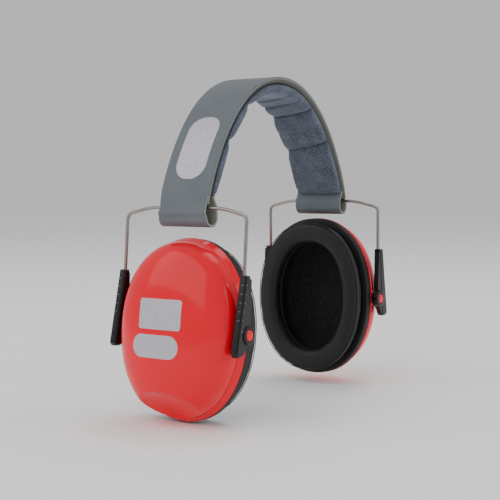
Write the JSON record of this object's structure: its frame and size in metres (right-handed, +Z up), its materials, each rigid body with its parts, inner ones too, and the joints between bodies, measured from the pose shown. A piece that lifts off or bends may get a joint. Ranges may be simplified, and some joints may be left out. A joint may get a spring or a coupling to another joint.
{
  "type": "hearing protection earmuffs",
  "caption": "Folding over-the-head earmuffs: padded arched headband, wire bails with sliders, and oval pivoting cups with ear cushions.",
  "frame": {"origin": "the middle of the crown pad's inner face, where the headband rests on the top of the head", "axes": "+X from ear to ear, towards the right as seen from the front; -Y the front; +Z up. Left and right in the names are as seen from the front."},
  "size_m": [0.2007, 0.0928, 0.1997],
  "materials": {
    "vinyl": "fine grained satin",
    "velour": "soft pile, quilted",
    "foam": "open cell, matt",
    "spring_steel": "satin",
    "wire": "drawn stainless, bright",
    "slider": "moulded, semi gloss",
    "shell": "moulded, high gloss",
    "plate": "moulded, satin",
    "cushion": "soft film over foam"
  },
  "bodies": {
    "headband": {"headband_cover": "vinyl", "headband_pad": "velour", "headband_filler": "foam", "headband_spring": "spring_steel", "left_hinge_bracket": "spring_steel", "left_bracket_rivet_1": "spring_steel", "left_bracket_rivet_2": "spring_steel", "right_hinge_bracket": "spring_steel", "right_bracket_rivet_1": "spring_steel", "right_bracket_rivet_2": "spring_steel"},
    "left_bail": {"left_wire_bail": "wire"},
    "left_sliders": {"left_front_slider": "slider", "left_rear_slider": "slider"},
    "left_cup": {"left_cup_shell": "shell", "left_backplate": "plate", "left_cushion_ring": "plate", "left_cushion": "cushion", "left_foam_liner": "foam", "left_front_pivot_pin": "shell", "left_rear_pivot_pin": "shell"},
    "right_bail": {"right_wire_bail": "wire"},
    "right_sliders": {"right_front_slider": "slider", "right_rear_slider": "slider"},
    "right_cup": {"right_cup_shell": "shell", "right_backplate": "plate", "right_cushion_ring": "plate", "right_cushion": "cushion", "right_foam_liner": "foam", "right_front_pivot_pin": "shell", "right_rear_pivot_pin": "shell"}
  },
  "joints": [
    {"name": "left_fold", "type": "hinge", "parent": "headband", "child": "left_bail", "pos_m": [-0.0772, 0, -0.0659], "axis": [0, 1, 0], "range_deg": [-80, 20]},
    {"name": "left_height", "type": "slide", "parent": "left_bail", "child": "left_sliders", "axis": [-0.0976, 0, -0.9952], "range_m": [-0.005, 0.015]},
    {"name": "left_tilt", "type": "hinge", "parent": "left_sliders", "child": "left_cup", "pos_m": [-0.0814, 0, -0.13497], "axis": [0, 1, 0], "range_deg": [-12, 12]},
    {"name": "right_fold", "type": "hinge", "parent": "headband", "child": "right_bail", "pos_m": [0.0772, 0, -0.0659], "axis": [0, 1, 0], "range_deg": [-20, 80]},
    {"name": "right_height", "type": "slide", "parent": "right_bail", "child": "right_sliders", "axis": [0.0087, 0, 1], "range_m": [-0.02, 0]},
    {"name": "right_tilt", "type": "hinge", "parent": "right_sliders", "child": "right_cup", "pos_m": [0.07408, 0, -0.13003], "axis": [0, 1, 0], "range_deg": [-12, 12]}
  ]
}
